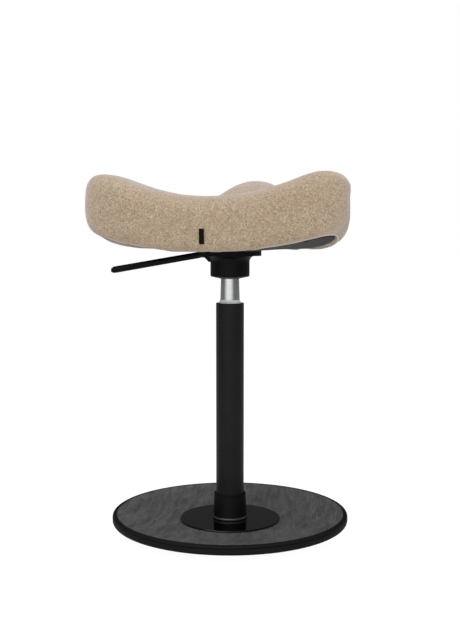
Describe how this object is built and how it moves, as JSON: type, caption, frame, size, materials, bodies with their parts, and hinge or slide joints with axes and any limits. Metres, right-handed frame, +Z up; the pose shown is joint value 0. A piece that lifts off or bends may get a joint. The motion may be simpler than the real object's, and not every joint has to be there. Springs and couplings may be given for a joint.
{
  "type": "perch stool",
  "caption": "Saddle-seat sit-stand stool with height lever, gas-spring column and dished round plate base.",
  "frame": {"origin": "where the column's axis meets the floor, in the middle of the floor pad's flat face", "axes": "+Z up along the column, the seat's rear face towards -Y, its nose towards +Y, the lever towards -X"},
  "size_m": [0.393, 0.3845, 0.5475],
  "materials": {
    "stained_ash": "satin, stained black, faint grain",
    "rubber": "matt",
    "black_steel": "satin powder coat",
    "zinc_steel": "zinc plated",
    "black_plastic": "fine texture",
    "bright_steel": "ground",
    "polished_steel": "polished",
    "white_acetal": "natural acetal, smooth",
    "brass": "turned",
    "black_cast": "fine texture",
    "birch_ply": "raw",
    "cover_felt": "dense felt, dark grey",
    "upholstery": "flat woven, heathered light brown",
    "label_cloth": "bare black woven tape"
  },
  "bodies": {
    "base": {"base_plate": "stained_ash", "floor_pad": "rubber", "base_disc": "black_steel", "base_bolts": "zinc_steel", "column_socket": "black_steel", "column_tube": "black_steel", "tube_end_plate": "black_steel", "guide_bushing": "white_acetal", "bearing_lower_race": "bright_steel", "bearing_cage": "black_plastic", "bearing_balls": "bright_steel"},
    "rotor": {"piston_rod": "bright_steel", "piston": "bright_steel", "piston_ring": "rubber", "bearing_upper_race": "bright_steel", "rod_bumper": "rubber", "rod_clip": "bright_steel"},
    "carriage": {"pressure_cylinder": "polished_steel", "rod_guide": "black_plastic", "rod_seal": "rubber", "valve_body": "brass", "seat_hub": "black_cast", "hub_screws": "zinc_steel", "lever_pin": "zinc_steel", "seat_board": "birch_ply", "board_nuts": "zinc_steel", "underside_cover": "cover_felt", "cover_screws": "zinc_steel", "seat_cushion": "upholstery", "rear_label": "label_cloth"},
    "valve": {"release_pin": "bright_steel"},
    "lever": {"lever_arm": "black_steel", "lever_grip": "black_plastic"}
  },
  "joints": [
    {"name": "seat_swivel", "type": "hinge", "parent": "base", "child": "rotor", "pos_m": [0, 0, 0.1], "axis": [0, 0, 1], "continuous": true},
    {"name": "seat_lift", "type": "slide", "parent": "rotor", "child": "carriage", "axis": [0, 0, 1], "range_m": [0, 0.26]},
    {"name": "lever_pull", "type": "hinge", "parent": "carriage", "child": "lever", "pos_m": [-0.03, 0, 0.42855], "axis": [0, 1, 0], "range_deg": [0, 4.5], "stiffness_Nm_per_rad": 3},
    {"name": "release_press", "type": "slide", "parent": "carriage", "child": "valve", "axis": [0, 0, 1], "range_m": [-0.0026, 0]}
  ],
  "couplings": [
    {"joint": "release_press", "follows": "lever_pull", "m_per_rad": -0.03}
  ]
}
